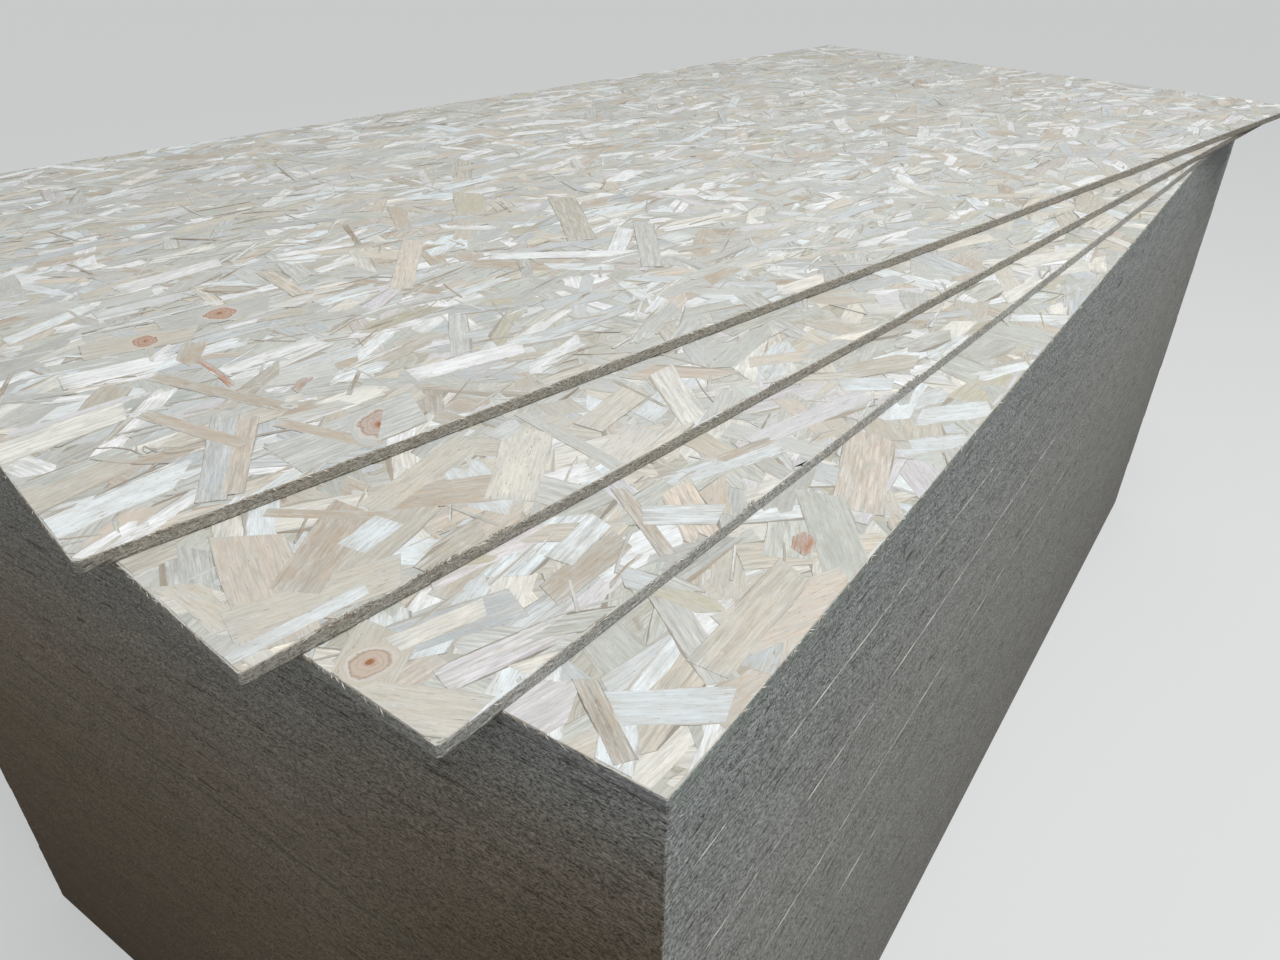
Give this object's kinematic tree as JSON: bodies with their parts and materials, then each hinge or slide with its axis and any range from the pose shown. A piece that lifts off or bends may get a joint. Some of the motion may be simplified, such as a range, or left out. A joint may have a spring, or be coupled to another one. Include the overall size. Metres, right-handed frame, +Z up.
{
  "type": "stack of osb panels",
  "caption": "Squared stack of pressed wood-strand panels lying flat on the floor, with its loose top panels fanned round from one end.",
  "frame": {"origin": "middle of the underside of the squared pile, on the floor that it lies on", "axes": "+Z up, +X along the long side of the squared panels, +Y across them; the fanned panels hang out over the pile's -X end and its +Y side"},
  "size_m": [2.6482, 1.7294, 1.092],
  "materials": {
    "osb": "raw pressed wood strands, matt"
  },
  "bodies": {
    "root": {"panel_top": "osb", "panel_second": "osb", "panel_third": "osb", "panel_fourth": "osb", "panels_odd": "osb", "panels_even": "osb"}
  },
  "joints": []
}
